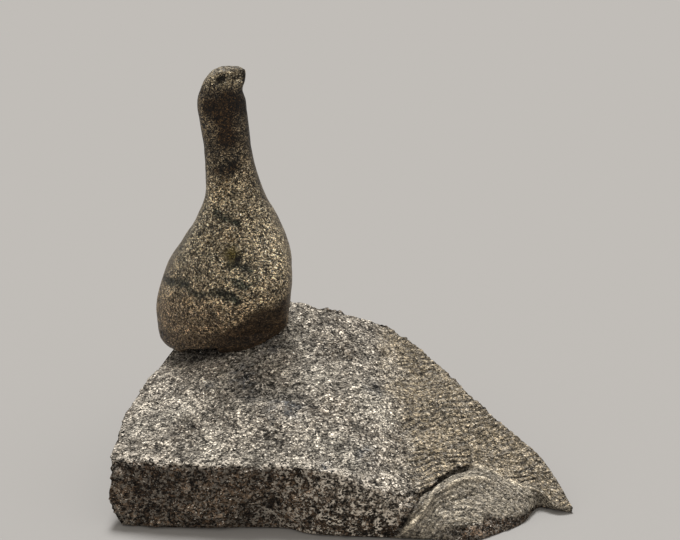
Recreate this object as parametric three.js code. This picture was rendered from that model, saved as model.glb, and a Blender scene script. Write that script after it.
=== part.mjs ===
import * as THREE from 'three';

// A granite bird carving on its natural rock base, in millimetres, +Z up.
// The bird looks along +X, the rock's vertical front faces -Y.
// The origin is the middle of the bounding box's underside, on the surface that the rock stands on.

// Rock: overall sizes
const ROCK_LENGTH = 244.5;
const ROCK_DEPTH = 150;
const ROCK_HEIGHT = 92;
const RIM_ROUND = 2.4;
const FOOT_ROUND = 3.5;
const LEFT_END_CHAMFER = 6;
const LEFT_END_CHAMFER_HEIGHT = 16;
const LEFT_END_BULGE = 0.9;
const SWELL_DEPTH = 1.1;
const WALL_LEDGE_DEPTH = 1.3;
const WALL_LEDGE_PITCH = 11;
const LOBE_BULGE = 4.2;
const LOBE_GROOVE_DEPTH = 2.6;
const LOBE_LIP_HEIGHT = 1.5;
const LOBE_STEP_DEPTH = 1.3;

// Seat: where the bird stands on the rock's sloping top
const SEAT_ALONG = 0.2205;
const SEAT_ACROSS = 0.791;
const SEAT_HALF_LENGTH = 39;
const SEAT_HALF_WIDTH = 26;
const SEAT_BLEND = 0.32;
const SEAT_CLEARANCE = 0.3;

// Bird: overall sizes
const BIRD_HEIGHT = 157.6;
const BIRD_LENGTH = 84;
const BIRD_THICKNESS = 67;
const BASE_EDGE_BACK = 11;
const BASE_EDGE_BREAST = 4;
const BASE_EDGE_TURN = 0.6;
const BODY_FULLNESS = 2.3;
const BODY_SKEW = 0.46;
const FACET_TURN = 16;
const FACET_TILT = 24;
const FACET_FOOT = 8;
const FACET_REACH = 28.5;
const FACET_SOFTNESS = 0.05;
const FACET_EDGE_ROUND = 1.2;
const HOLLOW_HEIGHT = 6.5;
const HOLLOW_INNER = 0.1;
const HOLLOW_OUTER = 0.62;
const EYE_DEPTH = 1.5;
const EYE_LENGTH = 8.5;
const EYE_HEIGHT = 4.6;
const BEAK_NARROWING = 0.5;

// Mesh fineness
const ROCK_STATIONS = 54;
const BOTTOM_STEPS = 4;
const FRONT_STEPS = 10;
const TOP_STEPS = 14;
const BACK_STEPS = 6;
const BIRD_ROWS = 40;
const BIRD_SIDES = 44;

// The rock's four rails run from the left end, station 0, to the right tip, station 1.
// Each row is: station, distance back as a share of the depth, height as a share of the height.
const FRONT_RIM = [
  [0, 0.151, 0.375],
  [0.19, 0.098, 0.386],
  [0.4, 0.078, 0.386],
  [0.47, 0.064, 0.37],
  [0.55, 0.047, 0.315],
  [0.61, 0.045, 0.25],
  [0.65, 0.074, 0.226],
  [0.73, 0.204, 0.255],
  [0.8, 0.265, 0.248],
  [0.87, 0.234, 0.168],
  [0.93, 0.243, 0.13],
  [0.965, 0.187, 0.055],
  [1, 0.196, 0.038],
];
const CREST = [
  [0, 0.825, 0.637],
  [0.06, 0.931, 0.755],
  [0.14, 0.998, 0.9],
  [0.22, 0.985, 0.99],
  [0.29, 0.892, 0.985],
  [0.33, 0.825, 0.967],
  [0.42, 0.825, 0.935],
  [0.5, 0.825, 0.875],
  [0.59, 0.825, 0.804],
  [0.69, 0.745, 0.663],
  [0.76, 0.638, 0.556],
  [0.85, 0.505, 0.396],
  [0.93, 0.405, 0.264],
  [0.965, 0.338, 0.182],
  [1, 0.201, 0.042],
];
const FRONT_FOOT = [
  [0, 0.098],
  [0.17, 0.078],
  [0.37, 0.078],
  [0.43, 0.038],
  [0.62, 0.012],
  [0.77, 0],
  [0.82, 0.038],
  [0.885, 0.112],
  [0.93, 0.218],
  [0.97, 0.212],
  [1, 0.191],
];
const BACK_FOOT = [
  [0, 0.838],
  [0.1, 0.971],
  [0.2, 0.99],
  [0.42, 0.961],
  [0.62, 0.897],
  [0.8, 0.628],
  [0.92, 0.397],
  [0.97, 0.283],
  [1, 0.22],
];
// The rock's left end leans in behind this share of the depth.
const LEFT_LEAN_START = 0.265;
const LEFT_LEAN = 0.234;

// The bird's side outline: height as a share of the bird's height, back edge and breast edge
// as shares of its length from the seat's middle, half thickness as a share of its thickness.
const BIRD_OUTLINE = [
  [-0.12, -0.54, 0.37, 0.34],
  [-0.05, -0.565, 0.395, 0.37],
  [0.02, -0.575, 0.415, 0.411],
  [0.09, -0.572, 0.425, 0.455],
  [0.17, -0.53, 0.444, 0.49],
  [0.257, -0.462, 0.455, 0.48],
  [0.35, -0.345, 0.432, 0.415],
  [0.442, -0.225, 0.357, 0.31],
  [0.534, -0.156, 0.263, 0.225],
  [0.667, -0.146, 0.188, 0.184],
  [0.755, -0.161, 0.168, 0.174],
  [0.85, -0.182, 0.152, 0.172],
  [0.888, -0.179, 0.144, 0.168],
  [0.917, -0.16, 0.128, 0.16],
  [0.949, -0.133, 0.144, 0.148],
  [0.977, -0.09, 0.149, 0.12],
  [0.99, -0.058, 0.139, 0.09],
  [1, -0.012, 0.1, 0.055],
];
// The head and beak begin at this share of the bird's height, and the eyes sit at the next.
const HEAD_START = 0.84;
const EYE_LEVEL = 0.957;
const EYE_ALONG = 0.005;

const { clamp, lerp, smoothstep, degToRad } = THREE.MathUtils;

// A smooth curve through stations: each cubic piece takes, at a station, the slope of the
// chord between the stations on either side of it.
function rail(stations, column) {
  const last = stations.length - 1;
  const slopeAt = (i) => {
    const before = stations[Math.max(i - 1, 0)];
    const after = stations[Math.min(i + 1, last)];
    return (after[column] - before[column]) / (after[0] - before[0]);
  };
  return (s) => {
    let i = 0;
    while (i < last - 1 && s > stations[i + 1][0]) {
      i += 1;
    }
    const width = stations[i + 1][0] - stations[i][0];
    const t = clamp((s - stations[i][0]) / width, 0, 1);
    const t2 = t * t;
    const t3 = t2 * t;
    const from = (2 * t3 - 3 * t2 + 1) * stations[i][column];
    const to = (3 * t2 - 2 * t3) * stations[i + 1][column];
    const leave = (t3 - 2 * t2 + t) * width * slopeAt(i);
    const arrive = (t3 - t2) * width * slopeAt(i + 1);
    return from + to + leave + arrive;
  };
}

// A hump of height 1 at centre that falls away on both sides over the given width.
function hump(value, centre, width) {
  const away = (value - centre) / width;
  return Math.exp(-away * away);
}

// A closed mesh from rows of points that each run once round the piece: neighbouring rows
// are joined by quads, and a point closes each end.
function closedLoft(rows, startPoint, endPoint) {
  const sides = rows[0].length;
  const points = [startPoint, ...rows.flat(), endPoint];
  const index = [];
  const at = (row, side) => 1 + row * sides + (side % sides);
  for (let side = 0; side < sides; side += 1) {
    index.push(0, at(0, side + 1), at(0, side));
    for (let row = 0; row < rows.length - 1; row += 1) {
      index.push(at(row, side), at(row, side + 1), at(row + 1, side));
      index.push(at(row, side + 1), at(row + 1, side + 1), at(row + 1, side));
    }
    index.push(at(rows.length - 1, side), at(rows.length - 1, side + 1), points.length - 1);
  }
  const geometry = new THREE.BufferGeometry();
  geometry.setFromPoints(points);
  geometry.setIndex(index);
  geometry.computeVertexNormals();
  return geometry;
}

// The rock's rails in millimetres.
const rimBack = rail(FRONT_RIM, 1);
const rimUp = rail(FRONT_RIM, 2);
const crestBack = rail(CREST, 1);
const crestUp = rail(CREST, 2);
const frontFoot = rail(FRONT_FOOT, 1);
const backFoot = rail(BACK_FOOT, 1);

// The rock's left end at a distance back: square in front, leaning in behind.
function leftEnd(y) {
  const behind = Math.max(0, y / ROCK_DEPTH - LEFT_LEAN_START);
  return LEFT_LEAN * behind * behind * ROCK_LENGTH;
}

function alongAt(s, y) {
  return lerp(leftEnd(y), ROCK_LENGTH, s);
}

function stationAt(x, y) {
  return (x - leftEnd(y)) / (ROCK_LENGTH - leftEnd(y));
}

// Height of the rock's top face before the seat is worked into it: at each station a
// straight line from the front rim to the crest.
function ruledTop(x, y) {
  const s = stationAt(x, y);
  const rimY = rimBack(s) * ROCK_DEPTH;
  const t = (y - rimY) / (crestBack(s) * ROCK_DEPTH - rimY);
  return lerp(rimUp(s), crestUp(s), t) * ROCK_HEIGHT;
}

// The seat is the flat that best lies on the top face under the bird.
const SEAT_X = SEAT_ALONG * ROCK_LENGTH;
const SEAT_Y = SEAT_ACROSS * ROCK_DEPTH;
const SEAT_SAMPLE = 0.6;
const sampleX = SEAT_SAMPLE * SEAT_HALF_LENGTH;
const sampleY = SEAT_SAMPLE * SEAT_HALF_WIDTH;
const seatBackOf = ruledTop(SEAT_X - sampleX, SEAT_Y);
const seatBreastOf = ruledTop(SEAT_X + sampleX, SEAT_Y);
const seatFrontOf = ruledTop(SEAT_X, SEAT_Y - sampleY);
const seatRearOf = ruledTop(SEAT_X, SEAT_Y + sampleY);
const SEAT_Z = (seatBackOf + seatBreastOf + seatFrontOf + seatRearOf) / 4;
const SEAT_RISE_X = (seatBreastOf - seatBackOf) / (2 * sampleX);
const SEAT_RISE_Y = (seatRearOf - seatFrontOf) / (2 * sampleY);

function seatPlane(x, y) {
  return SEAT_Z + SEAT_RISE_X * (x - SEAT_X) + SEAT_RISE_Y * (y - SEAT_Y);
}

// 1 on the seat, falling to 0 over a narrow margin around it.
function seatShare(x, y) {
  const across = (y - SEAT_Y) / SEAT_HALF_WIDTH;
  const along = (x - SEAT_X) / SEAT_HALF_LENGTH;
  return 1 - smoothstep(Math.hypot(along, across), 1, 1 + SEAT_BLEND);
}

// Gentle rises and dips left by the break.
function swell(x, y, z) {
  const long = Math.sin(0.061 * x + 0.083 * y + 0.4) * Math.sin(0.049 * y - 0.037 * x + 0.05 * z);
  const short = Math.sin(0.17 * x - 0.11 * y + 1.9) * Math.sin(0.14 * y + 0.12 * x + 0.21 * z);
  return SWELL_DEPTH * (long + 0.45 * short);
}

// Broken ledges that run along a wall, strongest half-way up.
function ledges(x, z) {
  const phase = (z + 2.2 * Math.sin(x / 17) + 1.3 * Math.sin(x / 7.3)) / WALL_LEDGE_PITCH;
  const saw = phase - Math.floor(phase);
  const strength = 0.35 + 0.65 * Math.abs(Math.sin(x / 41 + 0.9));
  return WALL_LEDGE_DEPTH * strength * (saw < 0.75 ? saw / 0.75 : (1 - saw) / 0.25);
}

// The shell-shaped lobe at the front right: how far a wall point at share t of the way up
// stands out, with the groove along its upper edge, the lip beside it and a step below.
function lobe(s, t) {
  const there = smoothstep(s, 0.59, 0.64) * (1 - smoothstep(s, 0.9, 0.97));
  const grooveThere = smoothstep(s, 0.575, 0.63) * (1 - smoothstep(s, 0.76, 0.84));
  const belly = LOBE_BULGE * Math.sin(Math.PI * t) * there;
  const groove = LOBE_GROOVE_DEPTH * hump(t, 0.95, 0.09) * grooveThere;
  const lip = LOBE_LIP_HEIGHT * hump(t, 0.76, 0.08) * grooveThere;
  const step = LOBE_STEP_DEPTH * hump(t, 0.5, 0.1) * there;
  return belly - groove + lip - step;
}

// One cross-section of the rock as a loop in (y, z): underside, front wall, top, back wall.
// Its four corners are rounded by small quadratic curves.
function rockSection(s) {
  const corners = [
    { y: backFoot(s) * ROCK_DEPTH, z: 0, round: FOOT_ROUND },
    { y: frontFoot(s) * ROCK_DEPTH, z: 0, round: FOOT_ROUND },
    { y: rimBack(s) * ROCK_DEPTH, z: rimUp(s) * ROCK_HEIGHT, round: RIM_ROUND },
    { y: crestBack(s) * ROCK_DEPTH, z: crestUp(s) * ROCK_HEIGHT, round: RIM_ROUND },
  ];
  const steps = [BOTTOM_STEPS, FRONT_STEPS, TOP_STEPS, BACK_STEPS];
  const loop = [];
  corners.forEach((corner, side) => {
    const before = corners[(side + 3) % 4];
    const after = corners[(side + 1) % 4];
    const inLength = Math.hypot(corner.y - before.y, corner.z - before.z);
    const outLength = Math.hypot(after.y - corner.y, after.z - corner.z);
    const round = Math.min(corner.round, 0.25 * inLength, 0.25 * outLength);
    const inShare = round / inLength;
    const outShare = round / outLength;
    const nextRound = Math.min(after.round, 0.25 * outLength) / outLength;
    const entry = { y: lerp(corner.y, before.y, inShare), z: lerp(corner.z, before.z, inShare) };
    const leave = { y: lerp(corner.y, after.y, outShare), z: lerp(corner.z, after.z, outShare) };
    const middle = {
      y: (entry.y + 2 * corner.y + leave.y) / 4,
      z: (entry.z + 2 * corner.z + leave.z) / 4,
    };
    loop.push({ ...entry, side: (side + 3) % 4, t: 1 - inShare });
    loop.push({ ...middle, side, t: 0 });
    loop.push({ ...leave, side, t: outShare });
    for (let k = 1; k < steps[side]; k += 1) {
      const t = lerp(outShare, 1 - nextRound, k / steps[side]);
      loop.push({ y: lerp(corner.y, after.y, t), z: lerp(corner.z, after.z, t), side, t });
    }
  });
  return { corners, loop };
}

// A point of the rock's skin: the section's point, pushed out along its wall by the ledges
// and the lobe, or raised on the top by the swell and laid onto the seat plane.
function rockPoint(s, corners, place) {
  const { side, t } = place;
  let { y, z } = place;
  const x = alongAt(s, y);
  const fade = Math.min(1, 4 * (1 - s));
  if (side === 1 || side === 3) {
    const from = corners[side];
    const to = corners[(side + 1) % 4];
    const length = Math.hypot(to.y - from.y, to.z - from.z);
    const outY = -(to.z - from.z) / length;
    const outZ = (to.y - from.y) / length;
    const free = Math.sin(Math.PI * t) ** 0.5;
    const shell = side === 1 ? lobe(s, t) : 0;
    const rough = (swell(x, y, z) + ledges(x, z)) * free;
    const push = (rough + shell) * fade;
    y += push * outY;
    z = Math.max(0, z + push * outZ);
  }
  if (side === 2) {
    const edge = Math.min(1, 6 * t * (1 - t) + 0.25);
    z += swell(x, y, z) * edge * fade;
    z = lerp(z, seatPlane(x, y), seatShare(x, y));
  }
  const low = Math.max(0, 1 - z / LEFT_END_CHAMFER_HEIGHT);
  const chamfer = LEFT_END_CHAMFER * low * low * (1 - s) ** 12;
  return new THREE.Vector3(alongAt(s, y) + chamfer, y, z);
}

function rockGeometry() {
  const rows = [];
  for (let i = 0; i <= ROCK_STATIONS; i += 1) {
    const share = i / ROCK_STATIONS;
    const s = 0.8 * share + 0.2 * Math.sin(0.5 * Math.PI * share) ** 2;
    const { corners, loop } = rockSection(s);
    rows.push(loop.map((place) => rockPoint(s, corners, place)).reverse());
  }
  // The left end closes with rows that shrink towards its middle and stand out a little.
  const first = rows[0];
  const middle = first.reduce((sum, p) => sum.add(p), new THREE.Vector3()).divideScalar(first.length);
  const caps = [0.04, 0.12, 0.35, 0.7].map((inward) => first.map((p) => {
    const point = p.clone().lerp(middle, inward);
    point.x -= LEFT_END_BULGE * Math.sin(0.5 * Math.PI * Math.min(1, 3 * inward));
    point.z = p.z === 0 ? p.z + 0.5 * inward * FOOT_ROUND : point.z;
    return point;
  }));
  const start = middle.clone();
  start.x -= LEFT_END_BULGE;
  const tip = rows[rows.length - 1];
  const end = tip.reduce((sum, p) => sum.add(p), new THREE.Vector3()).divideScalar(tip.length);
  end.x += 0.8;
  return closedLoft([...caps.reverse(), ...rows], start, end);
}

// The bird's outline in millimetres.
const birdBack = rail(BIRD_OUTLINE, 1);
const birdBreast = rail(BIRD_OUTLINE, 2);
const birdHalf = rail(BIRD_OUTLINE, 3);

// The underside of the bird: the seat plane, a clearance above it, with a shallow hollow
// at the front left that opens outwards and ends in a step.
function birdUnderside(x, y) {
  const along = (x - SEAT_X) / BIRD_LENGTH;
  const across = (SEAT_Y - y) / SEAT_HALF_WIDTH;
  const length = smoothstep(along, -0.44, -0.34) * (1 - smoothstep(along, -0.07, -0.05));
  const depth = smoothstep(across, HOLLOW_INNER, HOLLOW_OUTER);
  return seatPlane(x, y) + SEAT_CLEARANCE + HOLLOW_HEIGHT * length * depth;
}

// The facet at the lower front, under the breast, is a plane that cuts the body. Its foot,
// the lowest part of it, stands upright.
const facetNormal = new THREE.Vector3(
  Math.sin(degToRad(FACET_TURN)) * Math.cos(degToRad(FACET_TILT)),
  -Math.cos(degToRad(FACET_TURN)) * Math.cos(degToRad(FACET_TILT)),
  -Math.sin(degToRad(FACET_TILT)),
);

// Turns a circle's cosine or sine into those of a rounder-cornered oval.
function fuller(value, fullness) {
  return Math.sign(value) * Math.abs(value) ** (2 / fullness);
}

// Horizontal section of the bird at height z in the direction of an angle, pulled in by an
// inset: half an egg on either side, narrowed towards the beak, and cut by the facet.
function birdAround(angle, z, inset) {
  const level = (z - SEAT_Z) / BIRD_HEIGHT;
  const back = birdBack(level) * BIRD_LENGTH;
  const breast = birdBreast(level) * BIRD_LENGTH;
  const centre = (back + breast) / 2;
  const halfLength = Math.max(0.5, (breast - back) / 2 - inset);
  const head = smoothstep(level, HEAD_START, HEAD_START + 0.1);
  const narrow = 1 - BEAK_NARROWING * head * (0.5 + 0.5 * Math.cos(angle)) ** 1.5;
  const eye = EYE_DEPTH * head
    * hump(centre + halfLength * Math.cos(angle), EYE_ALONG * BIRD_LENGTH, 0.5 * EYE_LENGTH)
    * hump(z, SEAT_Z + EYE_LEVEL * BIRD_HEIGHT, 0.5 * EYE_HEIGHT);
  const halfWidth = Math.max(0.5, birdHalf(level) * BIRD_THICKNESS * narrow - inset - eye);
  const fullness = lerp(BODY_FULLNESS, 2, smoothstep(level, 0, 0.4));
  const dx = halfLength * fuller(Math.cos(angle), fullness);
  const skew = BODY_SKEW * (1 - smoothstep(level, 0.2, 0.5));
  const dy = halfWidth * fuller(Math.sin(angle), fullness) - skew * dx;
  const rise = Math.max(z - SEAT_Z, FACET_FOOT);
  const fixed = facetNormal.x * centre + facetNormal.z * rise;
  const reach = facetNormal.x * dx + facetNormal.y * dy;
  const limit = reach > 0.01 ? (FACET_REACH - Math.min(inset, FACET_EDGE_ROUND) - fixed) / reach : 9;
  const soft = Math.sqrt((1 - limit) ** 2 + FACET_SOFTNESS ** 2);
  const scale = Math.min(1, 0.5 * (1 + limit - soft) + 0.25 * FACET_SOFTNESS);
  return { x: SEAT_X + centre + scale * dx, y: SEAT_Y + scale * dy };
}

// Inset that rounds the lower edge: a quarter circle in the height above the base plane.
function edgeInset(angle, above) {
  const turn = 0.5 + 0.5 * Math.cos(angle + BASE_EDGE_TURN);
  const radius = lerp(BASE_EDGE_BACK, BASE_EDGE_BREAST, turn ** 1.2);
  const missing = Math.max(0, radius - above);
  return radius - Math.sqrt(Math.max(0, radius * radius - missing * missing));
}

// A point of the bird's skin: rows start along the underside and turn level towards the
// crown. Its height and its place on the section are settled together in a few rounds.
function birdPoint(angle, share) {
  const crown = SEAT_Z + BIRD_HEIGHT;
  let z = lerp(SEAT_Z, crown, share);
  let place = birdAround(angle, z, 0);
  for (let round = 0; round < 8; round += 1) {
    z = lerp(birdUnderside(place.x, place.y), crown, share);
    const above = z - seatPlane(place.x, place.y) - SEAT_CLEARANCE;
    place = birdAround(angle, z, edgeInset(angle, above));
  }
  return new THREE.Vector3(place.x, place.y, z);
}

function birdGeometry() {
  const rows = [];
  for (let row = 0; row <= BIRD_ROWS; row += 1) {
    const share = 0.5 - 0.5 * Math.cos(Math.PI * row / BIRD_ROWS);
    const ring = [];
    for (let side = 0; side < BIRD_SIDES; side += 1) {
      ring.push(birdPoint(2 * Math.PI * side / BIRD_SIDES, share));
    }
    rows.push(ring);
  }
  const edge = rows[0];
  const underRows = [0.25, 0.5, 0.75].map((inward) => edge.map((p) => {
    const x = lerp(p.x, SEAT_X, inward);
    const y = lerp(p.y, SEAT_Y, inward);
    return new THREE.Vector3(x, y, birdUnderside(x, y));
  }));
  const start = new THREE.Vector3(SEAT_X, SEAT_Y, birdUnderside(SEAT_X, SEAT_Y));
  const top = rows[rows.length - 1];
  const end = top.reduce((sum, p) => sum.add(p), new THREE.Vector3()).divideScalar(top.length);
  end.z += 0.25;
  return closedLoft([...underRows.reverse(), ...rows], start, end);
}

function stone(name, geometry, colour, roughness) {
  const material = new THREE.MeshStandardMaterial({ color: colour, roughness, metalness: 0 });
  const mesh = new THREE.Mesh(geometry, material);
  mesh.name = name;
  return mesh;
}

const carving = new THREE.Group();
carving.add(stone('rock_base', rockGeometry(), 0x827d70, 0.88));
carving.add(stone('bird', birdGeometry(), 0x5f5643, 0.62));

// The origin moves to the middle of the bounding box's underside.
const box = new THREE.Box3().setFromObject(carving);
const middle = box.getCenter(new THREE.Vector3());
carving.position.set(-middle.x, -middle.y, -box.min.z);

export default carving;
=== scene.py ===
import math

import bpy
import numpy as np
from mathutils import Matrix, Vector


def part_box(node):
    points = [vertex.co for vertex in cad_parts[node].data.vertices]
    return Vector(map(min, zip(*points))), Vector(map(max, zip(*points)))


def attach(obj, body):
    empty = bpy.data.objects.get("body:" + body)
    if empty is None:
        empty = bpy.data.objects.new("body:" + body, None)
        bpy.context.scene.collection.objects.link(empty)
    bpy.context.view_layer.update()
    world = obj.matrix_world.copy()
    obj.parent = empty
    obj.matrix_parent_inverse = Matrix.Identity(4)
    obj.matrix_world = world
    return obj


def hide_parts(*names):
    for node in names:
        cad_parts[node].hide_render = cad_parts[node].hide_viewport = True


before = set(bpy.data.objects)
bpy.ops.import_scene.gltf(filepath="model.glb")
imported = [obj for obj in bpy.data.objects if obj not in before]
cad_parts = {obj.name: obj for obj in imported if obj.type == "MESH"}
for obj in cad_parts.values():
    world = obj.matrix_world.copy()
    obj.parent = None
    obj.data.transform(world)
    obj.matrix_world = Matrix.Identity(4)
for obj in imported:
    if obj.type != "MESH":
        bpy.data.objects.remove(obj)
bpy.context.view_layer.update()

bl_info = {
    "name": "Granite bird carving",
    "version": (1, 0, 0),
    "blender": (4, 5, 0),
    "location": "View3D > Sidebar > Carving",
    "description": "Builds a small granite bird on its natural rock base, and a studio stage",
    "category": "Add Mesh",
}

# Millimetres to Blender's metres
MM = 0.001

# The rock's four rails, from the left end, station 0, to the right tip, station 1.
# Each row is: station, distance back as a share of the depth, height as a share of the height.
FRONT_RIM = np.array([
    [0, 0.151, 0.375],
    [0.19, 0.098, 0.386],
    [0.4, 0.078, 0.386],
    [0.47, 0.064, 0.37],
    [0.55, 0.047, 0.315],
    [0.61, 0.045, 0.25],
    [0.65, 0.074, 0.226],
    [0.73, 0.204, 0.255],
    [0.8, 0.265, 0.248],
    [0.87, 0.234, 0.168],
    [0.93, 0.243, 0.13],
    [0.965, 0.187, 0.055],
    [1, 0.196, 0.038],
])
CREST = np.array([
    [0, 0.825, 0.637],
    [0.06, 0.931, 0.755],
    [0.14, 0.998, 0.9],
    [0.22, 0.985, 0.99],
    [0.29, 0.892, 0.985],
    [0.33, 0.825, 0.967],
    [0.42, 0.825, 0.935],
    [0.5, 0.825, 0.875],
    [0.59, 0.825, 0.804],
    [0.69, 0.745, 0.663],
    [0.76, 0.638, 0.556],
    [0.85, 0.505, 0.396],
    [0.93, 0.405, 0.264],
    [0.965, 0.338, 0.182],
    [1, 0.201, 0.042],
])
FRONT_FOOT = np.array([
    [0, 0.098],
    [0.17, 0.078],
    [0.37, 0.078],
    [0.43, 0.038],
    [0.62, 0.012],
    [0.77, 0],
    [0.82, 0.038],
    [0.885, 0.112],
    [0.93, 0.218],
    [0.97, 0.212],
    [1, 0.191],
])
BACK_FOOT = np.array([
    [0, 0.838],
    [0.1, 0.971],
    [0.2, 0.99],
    [0.42, 0.961],
    [0.62, 0.897],
    [0.8, 0.628],
    [0.92, 0.397],
    [0.97, 0.283],
    [1, 0.22],
])
LEFT_LEAN_START = 0.265
LEFT_LEAN = 0.234

# The bird's side outline: height as a share of the bird's height, back edge and breast edge
# as shares of its length from the seat's middle, half thickness as a share of its thickness.
BIRD_OUTLINE = np.array([
    [-0.12, -0.54, 0.37, 0.34],
    [-0.05, -0.565, 0.395, 0.37],
    [0.02, -0.575, 0.415, 0.411],
    [0.09, -0.572, 0.425, 0.455],
    [0.17, -0.53, 0.444, 0.49],
    [0.257, -0.462, 0.455, 0.48],
    [0.35, -0.345, 0.432, 0.415],
    [0.442, -0.225, 0.357, 0.31],
    [0.534, -0.156, 0.263, 0.225],
    [0.667, -0.146, 0.188, 0.184],
    [0.755, -0.161, 0.168, 0.174],
    [0.85, -0.182, 0.152, 0.172],
    [0.888, -0.179, 0.144, 0.168],
    [0.917, -0.16, 0.128, 0.16],
    [0.949, -0.133, 0.144, 0.148],
    [0.977, -0.09, 0.149, 0.12],
    [0.99, -0.058, 0.139, 0.09],
    [1, -0.012, 0.1, 0.055],
])
HEAD_START = 0.84
EYE_LEVEL = 0.957
EYE_ALONG = 0.005

# Seat: where the bird stands, as shares of the rock's length and depth, and its size in mm
SEAT_ALONG = 0.2205
SEAT_ACROSS = 0.791
SEAT_HALF_LENGTH = 39
SEAT_HALF_WIDTH = 26
SEAT_BLEND = 0.32
SEAT_SAMPLE = 0.6
SEAT_CLEARANCE = 0.3

# Rock details in mm
RIM_ROUND = 2.4
FOOT_ROUND = 3.5
LEFT_END_CHAMFER = 6
LEFT_END_CHAMFER_HEIGHT = 16
LEFT_END_BULGE = 0.9
SWELL_DEPTH = 1.1
WALL_LEDGE_DEPTH = 1.3
WALL_LEDGE_PITCH = 11
LOBE_BULGE = 4.2
LOBE_GROOVE_DEPTH = 2.6
LOBE_LIP_HEIGHT = 1.5
LOBE_STEP_DEPTH = 1.3

# Bird details in mm and degrees
BASE_EDGE_BACK = 11
BASE_EDGE_BREAST = 4
BASE_EDGE_TURN = 0.6
BODY_FULLNESS = 2.3
BODY_SKEW = 0.46
FACET_TURN = 16
FACET_TILT = 24
FACET_FOOT = 8
FACET_REACH = 28.5
FACET_SOFTNESS = 0.05
FACET_EDGE_ROUND = 1.2
HOLLOW_HEIGHT = 6.5
HOLLOW_INNER = 0.1
HOLLOW_OUTER = 0.62
EYE_DEPTH = 1.5
EYE_LENGTH = 8.5
EYE_HEIGHT = 4.6
BEAK_NARROWING = 0.5

# The solids' own mesh steps: stations, steps on the underside, front, top and back, and caps
SOLID_STATIONS = 54
SOLID_STEPS = (4, 10, 14, 6)
SOLID_CORNER = 3
SOLID_CAPS = (0.04, 0.12, 0.35, 0.7)
# The fine skin's steps
ROCK_STATIONS = 330
ROCK_STEPS = (6, 60, 150, 36)
ROCK_CORNER = 9
ROCK_CAPS = (0.02, 0.045, 0.08, 0.13, 0.19, 0.27, 0.36, 0.46, 0.57, 0.68, 0.79, 0.9)
BIRD_ROWS = 300
BIRD_SIDES = 300
BIRD_UNDER_ROWS = 12

# How much of the solid's even ledges stays on the fine walls, whose own breaks take their place
FINE_LEDGE_SHARE = 0.12
# How far the skins' end points stand out, in mm
TIP_RISE = 0.8
CROWN_RISE = 0.1

# Noises of the relief: strength in mm, spacing in mm, layers and seed
HEWN_SWELLS = (0.5, 15, 3, 1)
HEWN_DENTS = (0.52, 4.4, 3, 5)
FLAKE_GRAIN = (0.65, 3.4, 3, 19)
RIB_GRAIN = (0.26, 3.2, 2, 27)
SHELL_GRAIN = (0.26, 5, 3, 33)
BIRD_SWELLS = (0.26, 10, 2, 43)
BIRD_GRAIN = (0.1, 1.9, 1, 53)
# Heights and depths of the relief in mm, and the relief at which its shading is at its ends
CHIP_DEPTH = 0.75
FLAKE_SWELL = 1.1
FLAKE_STEP = 0.95
FLAKE_DROP = 0.6
RIB_DEPTH = 0.6
RIB_RISE = 0.2
RING_HEIGHT = 0.4
RIM_DEPTH = 1.1
LIP_HEIGHT = 0.5
ARRIS_HEIGHT = 0.7
CREVICE_DEPTH = 1.6
ROCK_RELIEF_RANGE = 1.2
PIT_DEPTH = 0.4
VEIN_DEPTH = 0.2
OLIVE_DEPTH = 1.6
CRACK_DEPTH = 0.8
EYE_PIT_DEPTH = 0.8
BIRD_RELIEF_RANGE = 0.5

# The stone's crystals: their turn about the depth in radians, their squeeze along each axis, how
# far noise moves their outlines in metres, and the widths of the steps to dark, pale and fleck
GRAIN_TURN = 0.6
GRAIN_STRETCH = (0.8, 1, 1.05)
GRAIN_DRIFT = 0.0011
GRAIN_EDGE = 0.08
FLECK_EDGE = 0.05
# The ends between which each part of the crystals' tone runs
TONE_ENDS = (0.35, 1.65)
# Crystals and patches of each stone, as inputs of the node groups: metres and shares
ROCK_GRAINS = {"Grain Size": 0.00085, "Dark Share": 0.24, "Pale Share": 0.18, "Fleck Share": 0.03}
BIRD_GRAINS = {"Grain Size": 0.00058, "Dark Share": 0.36, "Pale Share": 0.2, "Fleck Share": 0.05}
GLINT_GRAINS = {"Grain Size": 0.0009, "Pale Share": 0.46}
ROCK_BUMPS = {"Grain Size": 0.0011}
BIRD_BUMPS = {"Grain Size": 0.0009}
BIRD_GLOSS = {"Grain Size": 0.0012}
ROCK_PATCHES = {"Patch Size": 0.011, "Sharpness": 0.2}
ROCK_CLUSTERS = {"Patch Size": 0.0055, "Sharpness": 0.1}
GLINT_CRUMBS = {"Patch Size": 0.0032, "Sharpness": 0.12}
BIRD_PATCHES = {"Patch Size": 0.009, "Sharpness": 0.25}
VEIN_CRUMBS = {"Patch Size": 0.0026, "Sharpness": 0.2}
# The bumps' depth in metres and the shine of each stone
ROCK_BUMP_DEPTH = 0.0011
BIRD_BUMP_DEPTH = 0.0003
ROCK_SHINE = 0.3
BIRD_SHINE = 0.25
# Colours that are not among the panel's
WALL_LIGHT = (0.115, 0.08, 0.053, 1)
LOBE_GROUND = (0.22, 0.19, 0.145, 1)
LOBE_LIGHT = (0.38, 0.335, 0.26, 1)
SLOPE_GROOVE = (0.042, 0.031, 0.018, 1)
SLOPE_RIB = (0.29, 0.232, 0.148, 1)
# Painted highlight: white laid into the colour as glints where the crystals would flash
GLINT_WHITE = (1.0, 0.9, 0.76, 1)
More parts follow.
